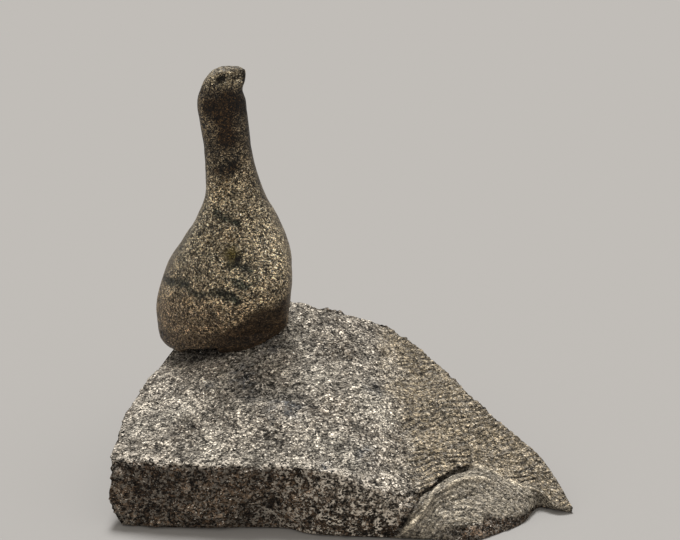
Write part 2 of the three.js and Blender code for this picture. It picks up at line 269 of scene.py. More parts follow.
# Colours laid over the stones in turn: the zone that carries each one, or with a capital the
# grains that do, its strength, its red, green and blue, and whether it covers or multiplies
TOP_LAYERS = (
    ("pale", 0.65, (0.54, 0.5, 0.42), "MIX"),
    ("brown", 0.7, (0.15, 0.12, 0.085), "MIX"),
    ("Dark", 0.6, (0.022, 0.018, 0.014), "MIX"),
    ("Pale", 0.6, (0.64, 0.58, 0.49), "MIX"),
    ("Broken dark", 1, (0.24, 0.27, 0.33), "MULTIPLY"),
    # Painted shadow: the rock just in front of the bird's seat is darkened
    ("seat_shadow", 1, (0.1, 0.095, 0.09), "MULTIPLY"),
)
WALL_LAYERS = (("Dark", 0.8, (0.012, 0.008, 0.005), "MIX"),)
LOBE_LAYERS = (("Dark", 0.4, (0.05, 0.042, 0.03), "MIX"),)
ROCK_LAYERS = (
    ("Fleck", 0.6, (0.7, 0.67, 0.6), "MIX"),
    # Painted highlight: the arrises and the lip along the lobe are painted pale
    ("arris", 0.85, (0.72, 0.63, 0.48), "MIX"),
    # Painted shade: the crevice along the lobe's edge is darkened
    ("crevice", 0.9, (0.14, 0.1, 0.07), "MULTIPLY"),
)
BIRD_LAYERS = (
    ("gold", 0.5, (0.32, 0.2, 0.07), "MIX"),
    ("green", 0.45, (0.1, 0.105, 0.085), "MIX"),
    # Painted reflection: a greyer colour along the outlines, where the sides turn away
    ("band", 0.5, (0.12, 0.1, 0.075), "MIX"),
    ("Dark", 0.85, (0.012, 0.009, 0.005), "MIX"),
    ("Pale", 0.7, (0.68, 0.57, 0.37), "MIX"),
    ("Fleck", 0.9, (1.0, 0.95, 0.78), "MIX"),
    ("crown", 0.6, (0.2, 0.17, 0.12), "MIX"),
    # Painted shade, slightly warm: darker towards the bottom and on the back
    ("brown", 1, (0.62, 0.54, 0.48), "MULTIPLY"),
)
BIRD_MARKS = (
    ("neck", 1, (0.085, 0.055, 0.03), "MULTIPLY"),
    # Painted shade on the facet and the low front, where the stone turns down
    ("facet", 0.9, (0.22, 0.18, 0.155), "MULTIPLY"),
    # Painted shade in the eye pits and along the beak's edge
    ("face", 1, (0.07, 0.06, 0.05), "MULTIPLY"),
    ("olive", 0.95, (0.34, 0.26, 0.05), "MIX"),
    # Painted shadow in the olive pit
    ("olive_shadow", 1, (0.03, 0.03, 0.025), "MULTIPLY"),
)

# Where the lobe's left edge meets the foot and the rim, as stations, and the middle and pitch
# in mm of its curved layers
LOBE_FOOT = 0.6
LOBE_HEAD = 0.662
LOBE_CENTRE = 181
LOBE_WALL = 38
LOBE_PITCH = 3.4
# The striated slope: where it starts along the rock, its ribs' pitch in mm and their slant
STRATA_START = 150
STRATA_PITCH = 3.6
STRATA_SLANT = 0.59
# Patches on the rock's top: mm along, mm back, width in mm
DARK_PATCHES = (
    (66, 70, 8), (71, 59, 7), (86, 49, 8), (95, 49, 7), (139, 71, 6), (159, 56, 5),
    (132, 25, 7), (45, 69, 5), (64, 76, 7), (80, 92, 10), (112, 12, 6),
)
PALE_PATCHES = (
    (53, 23, 12), (29, 55, 9), (138, 60, 11), (106, 71, 10), (113, 28, 10), (10, 46, 8),
    (77, 15, 10), (127, 16, 7), (100, 9, 9), (90, 100, 12),
)
BROWN_PATCHES = ((117, 51, 9), (36, 42, 6), (150, 35, 9), (120, 95, 12))

# Marks on the bird, in mm along and up from the seat's middle
FRONT_VEINS = (
    ((-5, 75.9), (1, 73.1), (8, 71)),
    (
        (-38.7, 30.9), (-23.5, 35), (-20.8, 31.1), (-15.6, 29.9), (-4.4, 32.9), (2.2, 32),
        (7.4, 29.7),
    ),
    ((2.8, 48.9), (8.6, 48.7), (15.4, 46.3)),
    ((7.5, 40.8), (12.1, 37.8), (16.7, 39.6)),
)
BACK_VEINS = (
    ((-30, 50), (-18, 47), (-7, 40), (6, 38), (18, 30)),
    ((-6, 92), (-1, 84), (7, 80)),
    ((10, 60), (18, 52), (26, 49)),
)
GREEN_PATCHES = ((-13.4, 74.6, 5), (-29, 52.3, 7), (-8, 53.2, 4), (13, 45, 7), (-20, 64, 7))
GOLD_PATCHES = ((0, 92.9, 4), (-2, 86, 4), (-10.8, 60.3, 4), (-23.6, 23.5, 4), (3.6, 63.6, 4))
NECK_SHADES = (
    (0.8, 128.9, 5), (1.1, 98.6, 3.5), (-4.7, 99.4, 3), (11.5, 136, 4), (-7, 135.5, 4),
    (3.2, 138.8, 5), (5.7, 101.9, 3.5), (2, 118, 5),
)
# Painted shade in the eye pits and along the beak
EYE_SHADES = ((-1.8, 150.4, 2.2), (1.6, 151.6, 1.6), (7, 151, 1.6))
EYE_PITS = ((-1.8, 150.2, 1.8), (5.4, 151.4, 1.6))
BEAK_SHADE = ((11.6, 155.5), (11.9, 147))
OLIVE_PIT = (4.6, 54.4, 3.6)
OLIVE_SHADE = (7.8, 52.4, 2.3)
CRACK = ((-3.2, 34.7), (-0.4, 32.4), (2.4, 30))
# The line on the bird's front below which the stone turns down and is darkened as painted shade
LOW_EDGE = ((-38, 1), (-20, 4), (-5.6, 7.5), (5.7, 14.9), (15.1, 20.3), (31, 27.9), (37, 32.4))

# Studio: floor side in metres, and each light's name, the way it comes from, its apparent size
# in degrees and its strength
FLOOR_SIZE = 30
LIGHTS = (
    ("key_light", (-0.06, 0.42, 1.0), 18, 2.9),
)
CAMERA_PLACE = (-0.00265, -0.50125, 0.2563)
CAMERA_PITCH = 75
CAMERA_LENS = 49.447


def mix(a, b, t):
    return a + (b - a) * t


def smoothstep(value, low, high):
    t = np.clip((value - low) / (high - low), 0, 1)
    return t * t * (3 - 2 * t)


def hump(value, centre, width):
    """A bell of height 1 at centre: e to the power minus the squared distance in widths."""
    return np.exp(-((value - centre) / width) ** 2)


def rail(stations, column, s):
    """Cubic pieces through the stations, whose slope at each station is that of the chord
    between the stations on either side of it."""
    at = stations[:, 0]
    value = stations[:, column]
    rise = np.append(value[1:], value[-1]) - np.append(value[0], value[:-1])
    run = np.append(at[1:], at[-1]) - np.append(at[0], at[:-1])
    slope = rise / run
    i = np.searchsorted(at[1:-1], s, side="left")
    width = at[i + 1] - at[i]
    t = np.clip((s - at[i]) / width, 0, 1)
    leaving = (2 * t**3 - 3 * t**2 + 1) * value[i] + (t**3 - 2 * t**2 + t) * width * slope[i]
    arriving = (3 * t**2 - 2 * t**3) * value[i + 1] + (t**3 - t**2) * width * slope[i + 1]
    return leaving + arriving


def lattice_noise(points, spacing, seed):
    """Smooth noise from -1 to 1: fixed random values at the corners of a cubic lattice of the
    given spacing, blended inside each cube by smoothsteps of the three distances."""
    grid = points / spacing + seed * 17.31
    cell = np.floor(grid).astype(np.int64)
    part = grid - cell
    part = part * part * (3 - 2 * part)
    total = np.zeros(points.shape[:-1])
    for corner in range(8):
        step = np.array([corner & 1, corner >> 1 & 1, corner >> 2 & 1])
        place = cell + step
        key = place[..., 0] * 374761393 + place[..., 1] * 668265263 + place[..., 2] * 974634777
        key = (key + seed * 144665) & 0xFFFFFFFF
        key = ((key ^ (key >> 13)) * 1274126177) & 0xFFFFFFFF
        value = ((key ^ (key >> 16)) & 0xFFFF) / 32767.5 - 1
        weight = np.prod(np.where(step == 1, part, 1 - part), axis=-1)
        total += value * weight
    return total


def layered_noise(points, spacing, octaves, seed):
    """Lattice noise plus copies of it, each at half the spacing and 0.55 of the strength."""
    total = np.zeros(points.shape[:-1])
    strength = 1.0
    for octave in range(octaves):
        total += strength * lattice_noise(points, spacing / 2**octave, seed + octave)
        strength *= 0.55
    return total


def relief_noise(points, strength, spacing, octaves, seed):
    """Layered noise times a strength in mm."""
    return strength * layered_noise(points, spacing, octaves, seed)


def ridge_noise(points, spacing, seed):
    """Sharp crests where lattice noise crosses zero: 1 minus twice its size."""
    return 1 - 2 * np.abs(lattice_noise(points, spacing, seed))


class RockForm:
    """The rock's skin, in mm from its left front corner, worked out from its overall sizes."""

    def __init__(self, length, depth, height):
        self.length = length
        self.depth = depth
        self.height = height
        self.seat_x = SEAT_ALONG * length
        self.seat_y = SEAT_ACROSS * depth
        step_x = SEAT_SAMPLE * SEAT_HALF_LENGTH
        step_y = SEAT_SAMPLE * SEAT_HALF_WIDTH
        x = self.seat_x + np.array([-step_x, step_x, 0, 0])
        y = self.seat_y + np.array([0, 0, -step_y, step_y])
        z = self.ruled_top(x, y)
        self.seat_z = z.mean()
        self.rise_x = (z[1] - z[0]) / (2 * step_x)
        self.rise_y = (z[3] - z[2]) / (2 * step_y)

    def left_end(self, y):
        """The left end's distance in: the square of how far back y lies behind the lean's start."""
        behind = np.maximum(0, y / self.depth - LEFT_LEAN_START)
        return LEFT_LEAN * behind**2 * self.length

    def along(self, s, y):
        return mix(self.left_end(y), self.length, s)

    def ruled_top(self, x, y):
        """At each station a straight line from the front rim to the crest."""
        s = (x - self.left_end(y)) / (self.length - self.left_end(y))
        rim_y = rail(FRONT_RIM, 1, s) * self.depth
        t = (y - rim_y) / (rail(CREST, 1, s) * self.depth - rim_y)
        return mix(rail(FRONT_RIM, 2, s), rail(CREST, 2, s), t) * self.height

    def seat_plane(self, x, y):
        return self.seat_z + self.rise_x * (x - self.seat_x) + self.rise_y * (y - self.seat_y)

    def seat_share(self, x, y):
        """1 on the seat's oval, falling to 0 over a narrow margin around it."""
        across = (y - self.seat_y) / SEAT_HALF_WIDTH
        along = (x - self.seat_x) / SEAT_HALF_LENGTH
        return 1 - smoothstep(np.hypot(along, across), 1, 1 + SEAT_BLEND)

    def section(self, s, steps, corner_points):
        """Loops in (y, z) at stations s: underside, front wall, top and back wall as straight
        sides whose four corners are quadratic curves. Gives y, z, side and share of the side."""
        rails = (BACK_FOOT, FRONT_FOOT, FRONT_RIM, CREST)
        y = [rail(stations, 1, s) * self.depth for stations in rails]
        z = [0 * s, 0 * s, rail(FRONT_RIM, 2, s) * self.height, rail(CREST, 2, s) * self.height]
        rounds = [FOOT_ROUND, FOOT_ROUND, RIM_ROUND, RIM_ROUND]
        loops = {"y": [], "z": [], "side": [], "t": []}

        def add(point_y, point_z, side, t):
            loops["y"].append(point_y)
            loops["z"].append(point_z)
            loops["side"].append(np.full(s.shape, side))
            loops["t"].append(t + 0 * s)

        for side in range(4):
            before = (side + 3) % 4
            after = (side + 1) % 4
            into = np.hypot(y[side] - y[before], z[side] - z[before])
            out = np.hypot(y[after] - y[side], z[after] - z[side])
            radius = np.minimum(rounds[side], np.minimum(0.25 * into, 0.25 * out))
            in_share = radius / into
            out_share = radius / out
            next_share = np.minimum(rounds[after], 0.25 * out) / out
            entry = mix(y[side], y[before], in_share), mix(z[side], z[before], in_share)
            leave = mix(y[side], y[after], out_share), mix(z[side], z[after], out_share)
            for q in np.linspace(0, 1, corner_points):
                curve = [
                    (1 - q) ** 2 * a + 2 * q * (1 - q) * b + q**2 * c
                    for a, b, c in zip(entry, (y[side], z[side]), leave)
                ]
                if q < 0.5:
                    add(curve[0], curve[1], before, 1 - in_share * (1 - 2 * q))
                else:
                    add(curve[0], curve[1], side, out_share * (2 * q - 1))
            for k in range(1, steps[side]):
                t = mix(out_share, 1 - next_share, k / steps[side])
                add(mix(y[side], y[after], t), mix(z[side], z[after], t), side, t)
        corners = np.stack([np.stack(y), np.stack(z)], axis=-1)
        return {name: np.stack(rows, axis=-1) for name, rows in loops.items()}, corners

    def skin(self, stations, steps, corner_points, cap_rows, ledge_share=1.0):
        """Rows round the rock from its left end's middle to its tip. Walls are pushed out by the
        swell, ledges and lobe, the top is raised by the swell and laid onto the seat. The ledges
        count by their share."""
        share = np.linspace(0, 1, stations + 1)
        s = 0.8 * share + 0.2 * np.sin(0.5 * np.pi * share) ** 2
        loops, corners = self.section(s, steps, corner_points)
        y, z, side, t = loops["y"], loops["z"], loops["side"], loops["t"]
        s = np.repeat(s[:, None], y.shape[1], axis=1)
        x = self.along(s, y)
        fade = np.minimum(1, 4 * (1 - s))
        for wall in (1, 3):
            run = corners[(wall + 1) % 4] - corners[wall]
            length = np.hypot(run[:, 0], run[:, 1])[:, None]
            shell = self.lobe(s, t) if wall == 1 else 0 * s
            free = np.sqrt(np.clip(np.sin(np.pi * t), 0, 1))
            push = (self.swell(x, y, z) + ledge_share * self.ledges(x, z)) * free
            push = (push + shell) * fade
            push = np.where(side == wall, push, 0)
            y = y - push * run[:, 1][:, None] / length
            z = np.maximum(0, z + push * run[:, 0][:, None] / length)
        edge = np.minimum(1, 6 * t * (1 - t) + 0.25)
        raised = z + self.swell(x, y, z) * edge * fade
        seated = mix(raised, self.seat_plane(x, y), self.seat_share(x, y))
        z = np.where(side == 2, seated, z)
        low = np.maximum(0, 1 - z / LEFT_END_CHAMFER_HEIGHT)
        x = self.along(s, y) + LEFT_END_CHAMFER * low**2 * (1 - s) ** 12
        rows = np.stack([x, y, z], axis=-1)
        first = rows[0]
        middle = first.mean(axis=0)
        inward = np.array(cap_rows)[:, None]
        caps = mix(first[None], middle, inward[..., None])
        caps[..., 0] -= LEFT_END_BULGE * np.sin(0.5 * np.pi * np.minimum(1, 3 * inward))
        flat = 0.5 * inward * FOOT_ROUND
        caps[..., 2] = np.where(first[None, :, 2] == 0, flat, caps[..., 2])
        start = middle - [LEFT_END_BULGE, 0, 0]
        end = rows[-1].mean(axis=0) + [TIP_RISE, 0, 0]
        cap_side = np.full((len(cap_rows), y.shape[1]), 4)
        cap_side[:, side[0] == 0] = 0
        fields = {
            "side": np.concatenate([cap_side, side]),
            "t": np.concatenate([np.repeat(t[:1], len(cap_rows), axis=0), t]),
            "s": np.concatenate([np.zeros(cap_side.shape), s]),
        }
        # The loops run clockwise seen from the tip, so they are turned round here
        fields = {name: values[:, ::-1] for name, values in fields.items()}
        return np.concatenate([caps[::-1], rows])[:, ::-1], fields, start, end

    def swell(self, x, y, z):
        """Gentle rises and dips: products of two slow sines, and of two quicker ones."""
        slow = np.sin(0.061 * x + 0.083 * y + 0.4) * np.sin(0.049 * y - 0.037 * x + 0.05 * z)
        quick = np.sin(0.17 * x - 0.11 * y + 1.9) * np.sin(0.14 * y + 0.12 * x + 0.21 * z)
        return SWELL_DEPTH * (slow + 0.45 * quick)

    def ledges(self, x, z):
        """Broken ledges along a wall: a saw-tooth in height whose teeth waver along x."""
        phase = (z + 2.2 * np.sin(x / 17) + 1.3 * np.sin(x / 7.3)) / WALL_LEDGE_PITCH
        saw = phase - np.floor(phase)
        strength = 0.35 + 0.65 * np.abs(np.sin(x / 41 + 0.9))
        return WALL_LEDGE_DEPTH * strength * np.where(saw < 0.75, saw / 0.75, (1 - saw) / 0.25)

    def lobe(self, s, t):
        """The shell-shaped lobe: a half sine up the wall, less a groove along its upper edge,
        plus a lip beside the groove, less a step half-way."""
        there = smoothstep(s, 0.59, 0.64) * (1 - smoothstep(s, 0.9, 0.97))
        groove_there = smoothstep(s, 0.575, 0.63) * (1 - smoothstep(s, 0.76, 0.84))
        belly = LOBE_BULGE * np.sin(np.pi * t) * there
        groove = LOBE_GROOVE_DEPTH * hump(t, 0.95, 0.09) * groove_there
        lip = LOBE_LIP_HEIGHT * hump(t, 0.76, 0.08) * groove_there
        step = LOBE_STEP_DEPTH * hump(t, 0.5, 0.1) * there
        return belly - groove + lip - step


class BirdForm:
    """The bird's skin, in the rock's own mm, seated on the rock's seat plane."""

    def __init__(self, rock, height, length, thickness):
        self.rock = rock
        self.height = height
        self.length = length
        self.thickness = thickness
        turn = math.radians(FACET_TURN)
        tilt = math.radians(FACET_TILT)
        self.facet = (
            math.sin(turn) * math.cos(tilt),
            -math.cos(turn) * math.cos(tilt),
            -math.sin(tilt),
        )

    def underside(self, x, y):
        """The seat plane and a clearance, with a shallow hollow that opens at the front left."""
        along = (x - self.rock.seat_x) / self.length
        across = (self.rock.seat_y - y) / SEAT_HALF_WIDTH
        length = smoothstep(along, -0.44, -0.34) * (1 - smoothstep(along, -0.07, -0.05))
        depth = smoothstep(across, HOLLOW_INNER, HOLLOW_OUTER)
        return self.rock.seat_plane(x, y) + SEAT_CLEARANCE + HOLLOW_HEIGHT * length * depth

    def around(self, angle, z, inset):
        """A level section: a full oval around the middle of the outline, narrowed to the beak,
        skewed in the body, and cut by the facet's plane."""
        level = (z - self.rock.seat_z) / self.height
        back = rail(BIRD_OUTLINE, 1, level) * self.length
        breast = rail(BIRD_OUTLINE, 2, level) * self.length
        centre = (back + breast) / 2
        half_length = np.maximum(0.5, (breast - back) / 2 - inset)
        head = smoothstep(level, HEAD_START, HEAD_START + 0.1)
        narrow = 1 - BEAK_NARROWING * head * (0.5 + 0.5 * np.cos(angle)) ** 1.5
        eye_x = centre + half_length * np.cos(angle)
        eye_z = self.rock.seat_z + EYE_LEVEL * self.height
        eye = EYE_DEPTH * head * hump(eye_x, EYE_ALONG * self.length, 0.5 * EYE_LENGTH)
        eye = eye * hump(z, eye_z, 0.5 * EYE_HEIGHT)
        half_width = rail(BIRD_OUTLINE, 3, level) * self.thickness * narrow - inset - eye
        half_width = np.maximum(0.5, half_width)
        power = 2 / mix(BODY_FULLNESS, 2, smoothstep(level, 0, 0.4))
        cosine = np.cos(angle) + 0 * z
        sine = np.sin(angle) + 0 * z
        dx = half_length * np.sign(cosine) * np.abs(cosine) ** power
        skew = BODY_SKEW * (1 - smoothstep(level, 0.2, 0.5))
        dy = half_width * np.sign(sine) * np.abs(sine) ** power - skew * dx
        rise = np.maximum(z - self.rock.seat_z, FACET_FOOT)
        fixed = self.facet[0] * centre + self.facet[2] * rise
        reach = self.facet[0] * dx + self.facet[1] * dy
        room = FACET_REACH - np.minimum(inset, FACET_EDGE_ROUND) - fixed
        limit = np.where(reach > 0.01, room / np.maximum(reach, 0.01), 9)
        soft = np.sqrt((1 - limit) ** 2 + FACET_SOFTNESS**2)
        scale = np.minimum(1, 0.5 * (1 + limit - soft) + 0.25 * FACET_SOFTNESS)
        return self.rock.seat_x + centre + scale * dx, self.rock.seat_y + scale * dy, limit

    def edge_inset(self, angle, above):
        """Rounds the lower edge by a quarter circle, wide at the back and tight at the breast."""
        turn = 0.5 + 0.5 * np.cos(angle + BASE_EDGE_TURN)
        radius = mix(BASE_EDGE_BACK, BASE_EDGE_BREAST, turn**1.2)
        missing = np.maximum(0, radius - above)
        return radius - np.sqrt(np.maximum(0, radius**2 - missing**2))

    def skin(self, rows, sides, under_rows):
        """Rows that start along the underside and turn level towards the crown. Each point's
        height and its place on the section are settled together in a few rounds."""
        angle = np.linspace(0, 2 * np.pi, sides, endpoint=False)[None, :]
        share = (0.5 - 0.5 * np.cos(np.pi * np.linspace(0, 1, rows + 1)))[:, None]
        crown = self.rock.seat_z + self.height
        z = mix(self.rock.seat_z, crown, share) + 0 * angle
        x, y, limit = self.around(angle, z, 0 * z)
        for _ in range(8):
            z = mix(self.underside(x, y), crown, share)
            above = z - self.rock.seat_plane(x, y) - SEAT_CLEARANCE
            x, y, limit = self.around(angle, z, self.edge_inset(angle, above))
        skin = np.stack([x, y, z], axis=-1)
        inward = np.linspace(0, 1, under_rows + 2)[1:-1][::-1, None]
        under_x = mix(skin[0, :, 0][None], self.rock.seat_x, inward)
        under_y = mix(skin[0, :, 1][None], self.rock.seat_y, inward)
        under = np.stack([under_x, under_y, self.underside(under_x, under_y)], axis=-1)
        seat_x, seat_y = self.rock.seat_x, self.rock.seat_y
        start = np.array([seat_x, seat_y, self.underside(seat_x, seat_y)])
        limits = np.concatenate([np.full(under_x.shape, 9.0), limit])
        return np.concatenate([under, skin]), limits, start


def outward_normals(rows):
    """Unit normals of a grid of closed rows: the cross product of the steps along the row and
    from row to row."""
    around = np.roll(rows, -1, axis=1) - np.roll(rows, 1, axis=1)
    onward = np.gradient(rows, axis=0)
    normal = np.cross(around, onward)
    return normal / np.maximum(np.linalg.norm(normal, axis=-1, keepdims=True), 1e-9)


def closed_mesh(name, rows, start, end, fields):
    """A mesh object from rows of points in metres: quads between neighbouring rows, and a fan
    to a point at each end. Fields are values per point that the materials read."""
    count, sides = rows.shape[:2]
    points = np.concatenate([start[None], rows.reshape(-1, 3), end[None]])
    index = 1 + np.arange(count * sides).reshape(count, sides)
    following = np.roll(index, -1, axis=1)
    quads = np.stack([index[:-1], following[:-1], following[1:], index[1:]], axis=-1)
    first_fan = np.stack([0 * index[0], following[0], index[0]], axis=-1)
    last_fan = np.stack([index[-1], following[-1], 0 * index[0] + len(points) - 1], axis=-1)
    mesh = bpy.data.meshes.new(name)
    corners = np.concatenate([first_fan.ravel(), quads.ravel(), last_fan.ravel()])
    sizes = np.concatenate([np.full(sides, 3), np.full(quads.size // 4, 4), np.full(sides, 3)])
    mesh.vertices.add(len(points))
    mesh.vertices.foreach_set("co", points.astype(np.float32).ravel())
    mesh.loops.add(len(corners))
    mesh.loops.foreach_set("vertex_index", corners.astype(np.int32))
    mesh.polygons.add(len(sizes))
    mesh.polygons.foreach_set("loop_start", (np.cumsum(sizes) - sizes).astype(np.int32))
    mesh.update(calc_edges=True)
    mesh.polygons.foreach_set("use_smooth", np.ones(len(sizes), dtype=bool))
    for field, values in fields.items():
        ends = values[0].mean(), values[-1].mean()
        whole = np.concatenate([[ends[0]], values.ravel(), [ends[1]]])
        attribute = mesh.attributes.new(field, "FLOAT", "POINT")
        attribute.data.foreach_set("value", whole.astype(np.float32))
    mesh.validate()
    piece = bpy.data.objects.new(name, mesh)
    bpy.context.scene.collection.objects.link(piece)
    return piece


def new_node(tree, kind, **settings):
    node = tree.nodes.new(kind)
    for name, value in settings.items():
        setattr(node, name, value)
    return node


def feed(tree, socket, value):
    """Links a socket to another one, or sets it to a plain value."""
    if isinstance(value, bpy.types.NodeSocket):
        tree.links.new(value, socket)
    else:
        socket.default_value = value


def colour_blend(tree, share, under, over, way="MIX"):
    """The under colour turning into the over colour by a share from 0 to 1."""
    node = new_node(tree, "ShaderNodeMix", data_type="RGBA", blend_type=way)
    feed(tree, node.inputs[0], share)
    feed(tree, node.inputs[6], under)
    feed(tree, node.inputs[7], over)
    return node.outputs[2]


def ramp(tree, value, low, high, to_low=0.0, to_high=1.0, smooth=False):
    """Maps a value between low and high to a new range, held at its ends."""
    node = new_node(tree, "ShaderNodeMapRange")
    node.interpolation_type = "SMOOTHSTEP" if smooth else "LINEAR"
    feed(tree, node.inputs[0], value)
    for socket, number in zip(node.inputs[1:5], (low, high, to_low, to_high)):
        feed(tree, socket, number)
    return node.outputs[0]


def arithmetic(tree, way, first, second=0.0):
    node = new_node(tree, "ShaderNodeMath", operation=way)
    feed(tree, node.inputs[0], first)
    feed(tree, node.inputs[1], second)
    return node.outputs[0]


def times(tree, first, second):
    return arithmetic(tree, "MULTIPLY", first, second)


def field(tree, name):
    node = new_node(tree, "ShaderNodeAttribute", attribute_name=name)
    return node.outputs["Fac"]


def object_place(tree):
    return new_node(tree, "ShaderNodeTexCoord").outputs["Object"]


def noise_at(tree, place, scale, detail, roughness=0.5):
    """Layered noise with its scale per metre."""
    node = new_node(tree, "ShaderNodeTexNoise")
    feed(tree, node.inputs["Vector"], place)
    feed(tree, node.inputs["Scale"], scale)
    node.inputs["Detail"].default_value = detail
    node.inputs["Roughness"].default_value = roughness
    return node.outputs


def cells_at(tree, place, scale):
    """Cells with their scale per metre: the distance from each middle, and its random values."""
    node = new_node(tree, "ShaderNodeTexVoronoi", feature="F1")
    feed(tree, node.inputs["Vector"], place)
    feed(tree, node.inputs["Scale"], scale)
    values = new_node(tree, "ShaderNodeSeparateColor")
    feed(tree, values.inputs[0], node.outputs["Color"])
    return node.outputs["Distance"], values.outputs


def highest(tree, value, share, edge):
    """1 on the given share of values at the upper end of 0 to 1, with a soft edge below it."""
    limit = arithmetic(tree, "SUBTRACT", 1.0, share)
    return ramp(tree, value, arithmetic(tree, "SUBTRACT", limit, edge), limit)


def new_group(name, inputs, outputs):
    """An empty shader node group with named float inputs, given with defaults, and outputs."""
    group = bpy.data.node_groups.new(name, "ShaderNodeTree")
    for socket, default in inputs.items():
        made = group.interface.new_socket(socket, in_out="INPUT", socket_type="NodeSocketFloat")
        made.default_value = default
    for socket in outputs:
        group.interface.new_socket(socket, in_out="OUTPUT", socket_type="NodeSocketFloat")
    return group, new_node(group, "NodeGroupInput"), new_node(group, "NodeGroupOutput")


def grains_group():
    """Crystals of a granite: slightly stretched cells of random value, their outlines blurred
    by noise. The lowest values are dark grains, the highest pale ones, and half-size cells
    give flecks. The tone, around 1, is the product of the values and of a rough noise, and
    falls along curled cracks where a broader noise crosses its middle."""
    inputs = {"Grain Size": 0.0013, "Dark Share": 0.3, "Pale Share": 0.2, "Fleck Share": 0.1}
    outputs = ["Dark", "Pale", "Fleck", "Tone", "Height"]
    group, given, result = new_group("Stone grains", inputs, outputs)
    stretched = new_node(group, "ShaderNodeMapping")
    feed(group, stretched.inputs["Vector"], object_place(group))
    stretched.inputs["Rotation"].default_value = (0, GRAIN_TURN, 0)
    stretched.inputs["Scale"].default_value = GRAIN_STRETCH
    place = stretched.outputs[0]
    scale = arithmetic(group, "DIVIDE", 1.0, given.outputs["Grain Size"])
    blur = noise_at(group, place, times(group, scale, 0.9), 2.0)
    drift = new_node(group, "ShaderNodeVectorMath", operation="MULTIPLY_ADD")
    for socket, vector in zip(drift.inputs, (blur["Color"], (GRAIN_DRIFT,) * 3, place)):
        feed(group, socket, vector)
    distance, value = cells_at(group, drift.outputs[0], scale)
    _, fleck_value = cells_at(group, drift.outputs[0], times(group, scale, 1.9))
    dark_edge = given.outputs["Dark Share"]
    past_dark = arithmetic(group, "ADD", dark_edge, GRAIN_EDGE)
    dark = ramp(group, value[0], dark_edge, past_dark, 1.0, 0.0)
    pale = highest(group, value[0], given.outputs["Pale Share"], GRAIN_EDGE)
    fleck = highest(group, fleck_value[1], given.outputs["Fleck Share"], FLECK_EDGE)
    height = arithmetic(group, "SUBTRACT", value[1], distance)
    height = arithmetic(group, "ADD", height, times(group, blur["Fac"], 0.8))
    cloud = noise_at(group, place, times(group, scale, 0.3), 6.0, 0.8)
    tone = ramp(group, cloud["Fac"], 0.35, 0.65, *TONE_ENDS)
    tone = times(group, tone, ramp(group, value[0], 0, 1, *TONE_ENDS))
    tone = times(group, tone, ramp(group, fleck_value[0], 0, 1, *TONE_ENDS))
    curl = noise_at(group, place, times(group, scale, 0.2), 3.0)
    off_level = arithmetic(group, "ABSOLUTE", arithmetic(group, "SUBTRACT", curl["Fac"], 0.5))
    tone = times(group, tone, ramp(group, off_level, 0.004, 0.03, 0.35, 1.08))
    for name, socket in zip(outputs, (dark, pale, fleck, tone, height)):
        feed(group, result.inputs[name], socket)
    return group


def mottling_group():
    """Soft patches: layered noise of a patch size, sharpened around its middle."""
    inputs = {"Patch Size": 0.02, "Sharpness": 0.2}
    group, given, result = new_group("Stone mottling", inputs, ["Patch"])
    scale = arithmetic(group, "DIVIDE", 1.0, given.outputs["Patch Size"])
    noise = noise_at(group, object_place(group), scale, 5.0, 0.6)
    half = times(group, given.outputs["Sharpness"], 0.5)
    low = arithmetic(group, "SUBTRACT", 0.5, half)
    high = arithmetic(group, "ADD", 0.5, half)
    feed(group, result.inputs["Patch"], ramp(group, noise["Fac"], low, high, smooth=True))
    return group


def shared_group(name, builder):
    """A node group by name, built on its first use."""
    return bpy.data.node_groups.get(name) or builder()


def use_group(tree, group, values):
    """Places a group in a material, with its inputs given by their names."""
    node = new_node(tree, "ShaderNodeGroup", node_tree=group)
    for name, value in values.items():
        feed(tree, node.inputs[name], value)
    return node.outputs


def stone_material(name, colours, colour, roughness, bumps, bump_depth, shine):
    """A stone whose varying colour and roughness are built by two functions in the material's
    own tree, and whose bumps are crystals of their own size."""
    grains = shared_group("Stone grains", grains_group)
    mottling = shared_group("Stone mottling", mottling_group)
    material = bpy.data.materials.new(name)
    material.use_nodes = True
    tree = material.node_tree
    shader = tree.nodes["Principled BSDF"]
    shader.inputs["Specular IOR Level"].default_value = shine
    feed(tree, shader.inputs["Base Color"], colour(tree, grains, mottling, colours))
    feed(tree, shader.inputs["Roughness"], roughness(tree, grains))
    bump = new_node(tree, "ShaderNodeBump")
    bump.inputs["Distance"].default_value = bump_depth
    bump.inputs["Strength"].default_value = 1.0
    feed(tree, bump.inputs["Height"], use_group(tree, grains, bumps)["Height"])
    feed(tree, shader.inputs["Normal"], bump.outputs["Normal"])
    return material


def sawtooth(phase, fall):
    """Rises from 0 to 1 over each whole step of the phase and drops back over its last part."""
    share = phase - np.floor(phase)
    return np.where(share < 1 - fall, share / (1 - fall), (1 - share) / fall)


def line_distance(x, z, corners):
    """The distance in a plane to the nearest point of a line through the corners."""
    nearest = np.full(x.shape, 1e9)
    for (ax, az), (bx, bz) in zip(corners[:-1], corners[1:]):
        run = (bx - ax) ** 2 + (bz - az) ** 2
        t = np.clip(((x - ax) * (bx - ax) + (z - az) * (bz - az)) / run, 0, 1)
        nearest = np.minimum(nearest, np.hypot(x - mix(ax, bx, t), z - mix(az, bz, t)))
    return nearest


def near_lines(x, z, lines, wander, low, high):
    """1 near any of the lines, falling to 0 between two distances that noise makes uneven."""
    shares = [1 - smoothstep(line_distance(x, z, line) + wander, low, high) for line in lines]
    return np.max(shares, axis=0)


def spots(x, y, places):
    """The sum of bells at places given as (x, y, width), held to 1."""
    total = np.zeros(x.shape)
    for at_x, at_y, width in places:
        total += np.exp(-((x - at_x) ** 2 + (y - at_y) ** 2) / width**2)
    return np.minimum(1, total)


